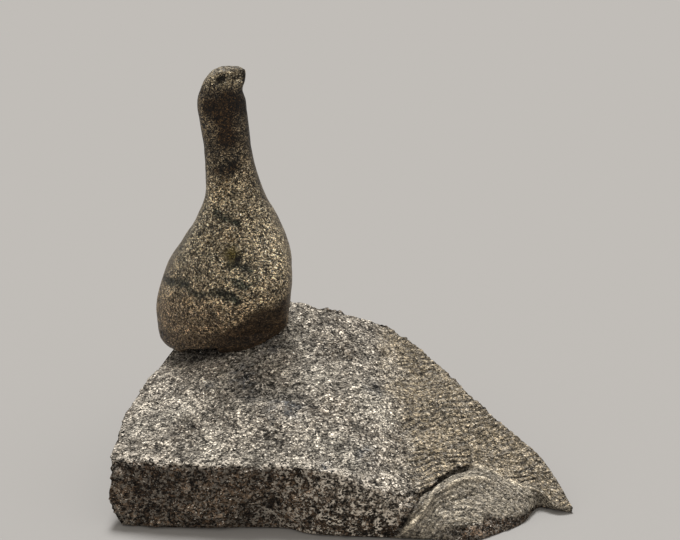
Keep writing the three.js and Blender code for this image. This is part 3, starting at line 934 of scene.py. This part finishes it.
def rock_zones(form, points, fields, normals):
    """Shares from 0 to 1 that say where each kind of broken stone lies: the walls, 1 on every
    side but the top and there 1 less how far it faces up, the pale shell-shaped lobe and its
    rings, the crevice and lip along its edge, the sparkling and soft parts of the front, the
    striated slope and its bands, the glinting sill, the arrises, crumbled rims, the painted
    shadow in front of the seat, and dark, pale and brown patches. The colours paint shade into
    the crevice, a pale highlight along the arrises and lip, and white glints on the sparkling
    part and the sill."""
    x, y = points[..., 0], points[..., 1]
    s, t, side = fields["s"], fields["t"], fields["side"]
    up = smoothstep(normals[..., 2], 0.3, 0.62)
    wander = layered_noise(points, 11, 2, 61)

    def rim_bell(wall_t, wall_width, top_width):
        """A bell over the front rim: around a share of the front wall and the top's start."""
        on_top = np.where(side == 2, hump(t, 0, top_width), 0)
        return np.where(side == 1, hump(t, wall_t, wall_width), on_top)

    past_edge = s - mix(LOBE_FOOT, LOBE_HEAD, t) - 0.004 * wander
    front = np.where(side == 1, 1.0, 0.0)
    lobe = front * smoothstep(past_edge, -0.001, 0.006)
    foot_t = 0.17 + 0.06 * wander
    lobe = lobe * np.maximum(smoothstep(t, foot_t, foot_t + 0.07), 1 - smoothstep(s, 0.69, 0.75))
    # The crevice is cut into the relief, and its colour is darkened as painted shade
    crevice = front * hump(past_edge, 0, 0.0045) * smoothstep(t, 0.02, 0.3)
    upper = hump(t, 0.98, 0.032) * smoothstep(past_edge, 0, 0.01) * (1 - smoothstep(s, 0.73, 0.8))
    broken_edge = 0.55 + 0.45 * smoothstep(layered_noise(points, 6, 2, 63), -0.5, 0.3)
    crevice = np.maximum(crevice, front * upper) * broken_edge
    lip = front * hump(past_edge - 0.05 * t**3, 0.014, 0.006) * smoothstep(t, 0.1, 0.4)
    lip = lip * (1 - smoothstep(t, 0.82, 0.93))
    second = front * hump(t, 0.76, 0.03) * smoothstep(s, 0.7, 0.73) * (1 - smoothstep(s, 0.8, 0.84))
    lip = np.maximum(lip, second)
    strata = up * smoothstep(x + 0.1 * y + 7 * wander, STRATA_START, STRATA_START + 16)
    phase = (y - STRATA_SLANT * x + 3.4 * layered_noise(points, 19, 3, 67)) / STRATA_PITCH
    lines = smoothstep(np.sin(2 * np.pi * phase), -0.95, -0.1)
    lines = mix(1, lines, 0.3 + 0.7 * smoothstep(layered_noise(points, 9, 2, 69), -0.5, 0.2))
    # The arrises and the lip carry a painted pale highlight as well as their raised relief
    arris_t = mix(1, 0.82, smoothstep(s, 0.86, 0.93))
    arris = np.maximum(rim_bell(arris_t, 0.04, 0.015) * smoothstep(s, 0.77, 0.8), lip)
    sill = rim_bell(1, 0.06, 0.05) * (1 - smoothstep(s, 0.56, 0.64))
    rings = np.hypot(x - LOBE_CENTRE, 1.1 * LOBE_WALL * t) + 1.8 * layered_noise(points, 14, 2, 29)
    soft = front * smoothstep(s, 0.4, 0.58) * smoothstep(t + 0.12 * wander, 0.3, 0.95)
    # Painted shadow: the rock just in front of the seat, where the bird's overhang would shade it
    ahead = np.hypot((x - form.seat_x) / SEAT_HALF_LENGTH, (y - form.seat_y) / SEAT_HALF_WIDTH)
    shaded = (1 - smoothstep(ahead, 0.85, 1.2)) * smoothstep(form.seat_y - y, 0, 9)
    shaded = shaded * (1 - 0.5 * smoothstep(x - form.seat_x, -6, 12))
    rim = np.maximum(rim_bell(1, 0.05, 0.03), np.where(side == 3, hump(t, 0, 0.05), 0))
    rim = np.maximum(rim, np.where(side == 2, hump(t, 1, 0.03), 0))
    return {
        "wall": np.where(side == 2, 1 - up, 1.0),
        "lobe": lobe,
        "crevice": crevice,
        "sparkle": front * smoothstep(s, 0.25, 0.55) * (1 - smoothstep(past_edge, -0.03, 0)),
        "strata": strata,
        "band": lines,
        "arris": arris,
        "lip": lip,
        "sill": sill,
        "rim": rim,
        "dark": spots(x, y, DARK_PATCHES) * up,
        "pale": spots(x, y, PALE_PATCHES) * up,
        "brown": spots(x, y, BROWN_PATCHES) * up,
        "ring": sawtooth(rings / LOBE_PITCH, 0.25),
        "soft": soft * (1 - lobe),
        "seat_shadow": shaded * up,
    }


def rock_relief(form, points, fields, zones):
    """How far each point stands out in mm. The top is hewn with small chips, the walls are
    broken in steps, the slope is ribbed, and the lobe has thin curved layers. The seat and the
    underside stay as they are."""
    x, y, z = points[..., 0], points[..., 1], points[..., 2]
    s, t = fields["s"], fields["t"]
    hewn = relief_noise(points, *HEWN_SWELLS) + relief_noise(points, *HEWN_DENTS)
    hewn -= CHIP_DEPTH * smoothstep(layered_noise(points, 5.5, 3, 9), 0.25, 0.8)
    flaked = layered_noise(points * [1, 1, 1.15], 12, 3, 13)
    broken = FLAKE_SWELL * flaked + FLAKE_STEP * sawtooth(1.9 * flaked, 0.3) - FLAKE_DROP
    broken += relief_noise(points, *FLAKE_GRAIN)
    ribs = RIB_DEPTH * (zones["band"] - 1) * (0.8 + 0.6 * lattice_noise(points, 13, 23))
    ribs += relief_noise(points * [0.55, 1, 1], *RIB_GRAIN) + RIB_RISE
    shell = RING_HEIGHT * zones["ring"] + relief_noise(points, *SHELL_GRAIN)
    early = hump(t, 0.95, 0.09) * smoothstep(s, 0.575, 0.63) * (1 - zones["lobe"])
    broken += LOBE_GROOVE_DEPTH * early
    top = mix(hewn, ribs + 0.3 * hewn, zones["strata"])
    wall = mix(broken, shell, zones["lobe"])
    relief = mix(top, wall, zones["wall"])
    chips = smoothstep(layered_noise(points, 8, 2, 37), 0, 0.8) + 0.4 * ridge_noise(points, 3.5, 41)
    relief -= RIM_DEPTH * zones["rim"] * (1 - 0.5 * zones["lobe"]) * chips
    relief += LIP_HEIGHT * zones["lip"] + ARRIS_HEIGHT * zones["arris"]
    relief -= CREVICE_DEPTH * zones["crevice"]
    on_seat = form.seat_share(x, y) * (1 - zones["wall"])
    tip = np.minimum(1, 9 * (1 - s) + 0.15)
    low = smoothstep(z, 0.1, 2.5)
    return relief * (1 - on_seat) * tip * low


def bird_zones(form, points, limits, normals):
    """Shares from 0 to 1 that say where the bird's finish changes: the cut facet, the smooth
    bands along its two outlines, dark veins, greenish and golden patches, the dark neck and
    face, the lower part and back, the olive pit and its shade, and the crown. The colours
    paint shade on the facet, the low front, the lower part, the back, the eye pits, along the
    beak and in the olive pit, and a greyer reflection on the bands."""
    x = points[..., 0] - form.rock.seat_x
    z = points[..., 2] - form.rock.seat_z
    level = z / form.height
    front = smoothstep(-normals[..., 1], 0.05, 0.4)
    back = smoothstep(normals[..., 1], 0.05, 0.4)
    wander = 1.5 * layered_noise(points, 7, 3, 71)
    veins = near_lines(x, z, FRONT_VEINS, wander, 1.2, 2.6)
    other = near_lines(x, z, BACK_VEINS, wander, 0.4, 3.1)
    seen = 0.4 + 0.6 * front
    neck = spots(x, z, NECK_SHADES)
    # The bands: the relief is smoothed there, and the colour is greyer and calmer as painted
    # reflection
    band = 1 - smoothstep(np.abs(normals[..., 1]), 0.2, 0.62)
    band = band * smoothstep(level, 0.02, 0.2) * (1 - smoothstep(level, 0.955, 0.99))
    # The facet and the low front below LOW_EDGE are darkened as painted shade
    facet = (1 - smoothstep(limits, 0.96, 1.01)) * smoothstep(-normals[..., 1], 0, 0.3)
    edge_x, edge_z = np.array(LOW_EDGE).T
    below = np.interp(x, edge_x, edge_z) - z + 0.5 * wander
    low_front = smoothstep(below, -1.3, 2.8) * (0.45 + 0.55 * smoothstep(x, -12, -2)) * front
    throat = smoothstep(level, 0.47, 0.74) * (1 - smoothstep(level, 0.91, 0.95))
    # Painted shade along the beak's edge and in the eye pits
    beak = 1 - smoothstep(line_distance(x, z, BEAK_SHADE), 0.3, 1.6)
    face = np.maximum(spots(x, z, EYE_SHADES), beak)
    return {
        "facet": np.maximum(facet, low_front),
        "band": band,
        "vein": veins * front + other * back,
        "green": spots(x, z, GREEN_PATCHES) * seen,
        "gold": spots(x, z, GOLD_PATCHES) * seen,
        "neck": np.minimum(1, 0.45 * neck + 0.78 * throat),
        # Painted shade, slightly warm, on the lower part and on the back
        "brown": np.maximum(1 - smoothstep(level, 0.04, 0.32), back),
        "face": face * smoothstep(np.abs(normals[..., 1]), 0.1, 0.5),
        "olive": spots(x, z, [OLIVE_PIT]) * front,
        # Painted shadow in the olive pit
        "olive_shadow": spots(x, z, [OLIVE_SHADE]) * front,
        "crown": smoothstep(normals[..., 2], 0.25, 0.8) * smoothstep(level, 0.85, 0.95),
    }


def bird_relief(form, points, zones, normals):
    """How far each point stands out in mm: soft hammered swells, shallow pits left by lost
    grains, an olive pit, a short crack and the eyes. The underside stays as it is."""
    x = points[..., 0] - form.rock.seat_x
    z = points[..., 2] - form.rock.seat_z
    front = smoothstep(-normals[..., 1], 0.05, 0.4)
    soft = relief_noise(points, *BIRD_SWELLS)
    pits = smoothstep(layered_noise(points, 2.7, 2, 47), 0.25, 0.95)
    rough = relief_noise(points, *BIRD_GRAIN) - PIT_DEPTH * pits
    relief = soft + rough * (1 - 0.75 * zones["band"])
    relief -= VEIN_DEPTH * zones["vein"] + OLIVE_DEPTH * zones["olive"]
    crack = 1 - smoothstep(line_distance(x, z, CRACK), 0.2, 1.1)
    relief -= CRACK_DEPTH * crack * front
    eyes = spots(x, z, EYE_PITS) * smoothstep(np.abs(normals[..., 1]), 0.2, 0.6)
    relief -= EYE_PIT_DEPTH * eyes
    above = points[..., 2] - form.underside(points[..., 0], points[..., 1])
    return relief * smoothstep(above, 0.2, 2.5)


def frame_offset(form):
    """From the rock's own mm to the frame's: the difference between the lowest corner of the
    packed rock and that of the same skin with the solid's few steps."""
    rows, _, _, _ = form.skin(SOLID_STATIONS, SOLID_STEPS, SOLID_CORNER, SOLID_CAPS)
    low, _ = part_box("rock_base")
    return np.array(low) / MM - rows.reshape(-1, 3).min(axis=0)


def sculpted_rock(form):
    """The rock's fine skin with its relief, its end points and its zones."""
    rows, fields, start, end = form.skin(
        ROCK_STATIONS, ROCK_STEPS, ROCK_CORNER, ROCK_CAPS, FINE_LEDGE_SHARE)
    normals = outward_normals(rows)
    zones = rock_zones(form, rows, fields, normals)
    relief = rock_relief(form, rows, fields, zones)
    rows = rows + normals * relief[..., None]
    rows[..., 2] = np.maximum(0, rows[..., 2])
    zones["relief"] = 0.5 + 0.5 * np.clip(relief / ROCK_RELIEF_RANGE, -1, 1)
    return rows, start, end, zones


def sculpted_bird(form):
    """The bird's fine skin with its relief, its end points and its zones."""
    rows, limits, start = form.skin(BIRD_ROWS, BIRD_SIDES, BIRD_UNDER_ROWS)
    normals = outward_normals(rows)
    zones = bird_zones(form, rows, limits, normals)
    relief = bird_relief(form, rows, zones, normals)
    rows = rows + normals * relief[..., None]
    end = rows[-1].mean(axis=0) + [0, 0, CROWN_RISE]
    zones["relief"] = 0.5 + 0.5 * np.clip(relief / BIRD_RELIEF_RANGE, -1, 1)
    return rows, start, end, zones


def shaded(tree, stone, value):
    """A colour multiplied by a value."""
    grey = new_node(tree, "ShaderNodeCombineColor")
    for channel in grey.inputs[:3]:
        feed(tree, channel, value)
    return colour_blend(tree, 1.0, stone, grey.outputs[0], "MULTIPLY")


def lay_over(tree, stone, layers, values):
    """Lays a table's colours over a stone in turn, each by its strength times the given value
    of its name, or else times the zone of its name."""
    for name, strength, colour, way in layers:
        value = values[name] if name in values else field(tree, name)
        stone = colour_blend(tree, times(tree, value, strength), stone, (*colour, 1), way)
    return stone


def rock_colour(tree, grains, mottling, colours):
    """Grey-brown speckled stone on the top, darker and browner walls, a pale lobe, and banded
    brown stone on the slope, with painted shade in every hollow and the crevice, a painted
    highlight on raised parts and the arrises, and a painted shadow in front of the seat.
    Painted white glints come last, where crumbs and pale grains meet on the sparkling part of
    the front and on the sill."""
    coarse = use_group(tree, grains, ROCK_GRAINS)
    bright = use_group(tree, grains, GLINT_GRAINS)["Pale"]
    patch = use_group(tree, mottling, ROCK_PATCHES)["Patch"]
    cluster = use_group(tree, mottling, ROCK_CLUSTERS)["Patch"]
    crumbs = use_group(tree, mottling, GLINT_CRUMBS)["Patch"]
    values = {name: coarse[name] for name in ("Dark", "Pale", "Fleck")}
    broken = ramp(tree, cluster, 0, 1, 0.35, 1.0)
    values["Broken dark"] = times(tree, field(tree, "dark"), broken)
    top = colour_blend(tree, patch, tuple(colours.rock_ground), tuple(colours.rock_light))
    top = lay_over(tree, top, TOP_LAYERS, values)
    banded = colour_blend(tree, field(tree, "band"), SLOPE_GROOVE, SLOPE_RIB)
    slope = colour_blend(tree, times(tree, field(tree, "strata"), 0.8), top, banded)
    wall = colour_blend(tree, patch, tuple(colours.rock_wall), WALL_LIGHT)
    wall = lay_over(tree, wall, WALL_LAYERS, values)
    wall = colour_blend(tree, times(tree, field(tree, "soft"), 0.75), wall, slope)
    lobe = colour_blend(tree, patch, LOBE_GROUND, LOBE_LIGHT)
    lobe = lay_over(tree, lobe, LOBE_LAYERS, values)
    lobe = shaded(tree, lobe, ramp(tree, field(tree, "ring"), 0.1, 0.8, 0.6, 1.2))
    sides = colour_blend(tree, field(tree, "lobe"), wall, lobe)
    stone = colour_blend(tree, field(tree, "wall"), slope, sides)
    stone = lay_over(tree, stone, ROCK_LAYERS, values)
    smoother = arithmetic(tree, "MAXIMUM", field(tree, "lobe"), field(tree, "arris"))
    tone = arithmetic(tree, "POWER", coarse["Tone"], ramp(tree, smoother, 0, 1, 1.3, 0.85))
    # Painted shade in the relief's hollows and painted highlight on its raised parts
    depth = ramp(tree, field(tree, "relief"), 0.15, 0.75, 0.4, 1.2)
    stone = shaded(tree, stone, times(tree, depth, tone))
    # Painted highlight: white glints on the sparkling part of the front and along the sill
    white = times(tree, ramp(tree, field(tree, "sparkle"), 0, 1, 0.2, 1.0), crumbs)
    sill = times(tree, times(tree, field(tree, "sill"), cluster), 0.95)
    glint = times(tree, arithmetic(tree, "MAXIMUM", white, sill), bright)
    return colour_blend(tree, glint, stone, GLINT_WHITE)


def rock_roughness(tree, grains):
    """Rough all over, and a little less so on the lobe."""
    return ramp(tree, field(tree, "lobe"), 0, 1, 0.86, 0.74)


def bird_colour(tree, grains, mottling, colours):
    """Stone with tan, black and whitish grains and golden and green patches, calmer and
    grey-brown along the outlines as painted reflection, and darker and a little browner on the
    lower part and the back as painted shade. Blue-green veins, the dark neck, the facet and
    face with painted shade, and the olive pit with its painted shadow go over it, and the
    relief's hollows get painted shade and its raised parts painted highlight."""
    grain = use_group(tree, grains, BIRD_GRAINS)
    patch = use_group(tree, mottling, BIRD_PATCHES)["Patch"]
    crumbs = use_group(tree, mottling, VEIN_CRUMBS)["Patch"]
    facet = times(tree, field(tree, "facet"), 0.7)
    smooth = arithmetic(tree, "MAXIMUM", field(tree, "band"), facet)
    smooth = arithmetic(tree, "MAXIMUM", smooth, times(tree, field(tree, "crown"), 0.8))
    calm = arithmetic(tree, "SUBTRACT", 1.0, times(tree, smooth, 0.5))
    values = {name: times(tree, grain[name], calm) for name in ("Dark", "Pale", "Fleck")}
    stone = colour_blend(tree, patch, tuple(colours.bird_ground), tuple(colours.bird_light))
    stone = lay_over(tree, stone, BIRD_LAYERS, values)
    broken = times(tree, field(tree, "vein"), ramp(tree, crumbs, 0, 1, 0.6, 1.0))
    stone = colour_blend(tree, broken, stone, tuple(colours.vein), "MULTIPLY")
    stone = lay_over(tree, stone, BIRD_MARKS, values)
    tone = arithmetic(tree, "POWER", grain["Tone"], ramp(tree, smooth, 0, 1, 1.35, 0.65))
    # Painted shade in the relief's hollows and painted highlight on its raised parts
    depth = ramp(tree, field(tree, "relief"), 0.1, 0.7, 0.4, 1.15)
    return shaded(tree, stone, times(tree, depth, tone))


def bird_roughness(tree, grains):
    """Smoother where a grain lies low and rougher where it stands out."""
    return ramp(tree, use_group(tree, grains, BIRD_GLOSS)["Height"], 0, 1.6, 0.42, 0.7)


class CarvingSizes(bpy.types.PropertyGroup):
    rock_length: bpy.props.FloatProperty(
        name="Rock length", description="Length of the rock base, left end to right tip",
        default=0.2445, min=0.05, unit="LENGTH")
    rock_depth: bpy.props.FloatProperty(
        name="Rock depth", description="Depth of the rock base, front foot to crest",
        default=0.15, min=0.03, unit="LENGTH")
    rock_height: bpy.props.FloatProperty(
        name="Rock height", description="Height that the crest's shares are taken of",
        default=0.092, min=0.02, unit="LENGTH")
    bird_height: bpy.props.FloatProperty(
        name="Bird height", description="Height of the bird above the middle of its seat",
        default=0.1576, min=0.03, unit="LENGTH")
    bird_length: bpy.props.FloatProperty(
        name="Bird length", description="Length that the bird's side outline is taken of",
        default=0.084, min=0.02, unit="LENGTH")
    bird_thickness: bpy.props.FloatProperty(
        name="Bird thickness", description="Thickness of the bird's body, side to side",
        default=0.067, min=0.015, unit="LENGTH")


def colour_property(label, meaning, default):
    return bpy.props.FloatVectorProperty(
        name=label, description=meaning, subtype="COLOR", size=4, min=0, max=1, default=default)


class CarvingColours(bpy.types.PropertyGroup):
    rock_ground: colour_property(
        "Rock ground", "Darker patches of the hewn top", (0.18, 0.153, 0.12, 1))
    rock_light: colour_property(
        "Rock light", "Paler patches of the hewn top", (0.47, 0.42, 0.345, 1))
    rock_wall: colour_property(
        "Rock wall", "Ground of the broken walls", (0.058, 0.037, 0.022, 1))
    bird_ground: colour_property(
        "Bird ground", "Darker patches of the bird", (0.135, 0.098, 0.055, 1))
    bird_light: colour_property(
        "Bird light", "Paler patches of the bird", (0.32, 0.25, 0.155, 1))
    vein: colour_property(
        "Vein", "What the dark veins leave of the bird's colour", (0.12, 0.17, 0.18, 1))
    backdrop: colour_property(
        "Backdrop", "Studio floor as lit, and surroundings", (0.533, 0.509, 0.479, 1))


def rock_of(sizes):
    return RockForm(sizes.rock_length / MM, sizes.rock_depth / MM, sizes.rock_height / MM)


def stone_piece(name, rock, skin, material):
    """An object from a sculpted skin, moved from the rock's own mm to the frame's metres."""
    rows, start, end, zones = skin
    offset = frame_offset(rock)
    places = [(part + offset) * MM for part in (rows, start, end)]
    piece = closed_mesh(name, *places, zones)
    piece.data.materials.append(material)
    return piece


class CARVING_OT_rock_base(bpy.types.Operator):
    """Makes the broken granite rock that the bird stands on"""

    bl_idname = "carving.rock_base"
    bl_label = "Rock base"

    def execute(self, context):
        form = rock_of(context.scene.carving_sizes)
        material = stone_material(
            "hewn granite", context.scene.carving_colours, rock_colour, rock_roughness,
            ROCK_BUMPS, ROCK_BUMP_DEPTH, ROCK_SHINE)
        piece = stone_piece("rock_base_stone", form, sculpted_rock(form), material)
        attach(piece, "root")
        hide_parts("rock_base")
        return {"FINISHED"}


class CARVING_OT_bird(bpy.types.Operator):
    """Makes the long-necked bird on the rock's seat"""

    bl_idname = "carving.bird"
    bl_label = "Bird"

    def execute(self, context):
        sizes = context.scene.carving_sizes
        rock = rock_of(sizes)
        form = BirdForm(
            rock, sizes.bird_height / MM, sizes.bird_length / MM, sizes.bird_thickness / MM)
        material = stone_material(
            "worn granite", context.scene.carving_colours, bird_colour, bird_roughness,
            BIRD_BUMPS, BIRD_BUMP_DEPTH, BIRD_SHINE)
        piece = stone_piece("bird_stone", rock, sculpted_bird(form), material)
        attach(piece, "root")
        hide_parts("bird")
        return {"FINISHED"}


def floor_colour(backdrop):
    """The floor's own colour, for which it looks just like the surroundings that light it: the
    backdrop divided by the sum of the backdrop and the lights' strengths on level ground."""
    lit = 0.0
    for _, way, _, strength in LIGHTS:
        lit += strength * Vector(way).normalized().z / math.pi
    return (*(part / (part + lit) for part in backdrop[:3]), 1)


class CARVING_OT_stage(bpy.types.Operator):
    """Makes the pale floor, the soft studio light and the camera"""

    bl_idname = "carving.stage"
    bl_label = "Stage"

    def execute(self, context):
        scene = context.scene
        backdrop = tuple(scene.carving_colours.backdrop)
        mesh = bpy.data.meshes.new("studio_floor")
        half = FLOOR_SIZE / 2
        corners = [(-half, -half, 0), (half, -half, 0), (half, half, 0), (-half, half, 0)]
        mesh.from_pydata(corners, [], [(0, 1, 2, 3)])
        floor = bpy.data.objects.new("studio_floor", mesh)
        scene.collection.objects.link(floor)
        paint = bpy.data.materials.new("floor paint")
        paint.use_nodes = True
        shader = paint.node_tree.nodes["Principled BSDF"]
        shader.inputs["Base Color"].default_value = floor_colour(backdrop)
        shader.inputs["Roughness"].default_value = 1.0
        shader.inputs["Specular IOR Level"].default_value = 0.0
        mesh.materials.append(paint)
        world = bpy.data.worlds.new("studio")
        world.use_nodes = True
        world.node_tree.nodes["Background"].inputs["Color"].default_value = backdrop
        scene.world = world
        for name, way, size, strength in LIGHTS:
            light = bpy.data.lights.new(name, "SUN")
            light.angle = math.radians(size)
            light.energy = strength
            lamp = bpy.data.objects.new(name, light)
            lamp.rotation_euler = (-Vector(way)).to_track_quat("-Z", "Y").to_euler()
            scene.collection.objects.link(lamp)
        view = bpy.data.cameras.new("camera")
        view.sensor_width = 36.0
        view.lens = CAMERA_LENS
        view.clip_start = 0.01
        camera = bpy.data.objects.new("camera", view)
        camera.location = CAMERA_PLACE
        camera.rotation_euler = (math.radians(CAMERA_PITCH), 0, 0)
        scene.collection.objects.link(camera)
        scene.camera = camera
        scene.view_settings.view_transform = "Standard"
        return {"FINISHED"}


class CARVING_PT_panel(bpy.types.Panel):
    """Lists the sizes, the colours and the pieces in the 3D view's sidebar"""

    bl_label = "Granite bird carving"
    bl_idname = "CARVING_PT_panel"
    bl_space_type = "VIEW_3D"
    bl_region_type = "UI"
    bl_category = "Carving"

    def draw(self, context):
        for group in (context.scene.carving_sizes, context.scene.carving_colours):
            column = self.layout.column(align=True)
            for name in group.__annotations__:
                column.prop(group, name)
        for operator in STEPS:
            self.layout.operator(operator.bl_idname)


STEPS = (CARVING_OT_rock_base, CARVING_OT_bird, CARVING_OT_stage)
CLASSES = (CarvingSizes, CarvingColours, *STEPS, CARVING_PT_panel)


def register():
    for kind in CLASSES:
        bpy.utils.register_class(kind)
    bpy.types.Scene.carving_sizes = bpy.props.PointerProperty(type=CarvingSizes)
    bpy.types.Scene.carving_colours = bpy.props.PointerProperty(type=CarvingColours)


def unregister():
    del bpy.types.Scene.carving_colours
    del bpy.types.Scene.carving_sizes
    for kind in reversed(CLASSES):
        bpy.utils.unregister_class(kind)


def main():
    register()
    bpy.ops.carving.rock_base()
    bpy.ops.carving.bird()
    bpy.ops.carving.stage()


if __name__ == "__main__":
    main()
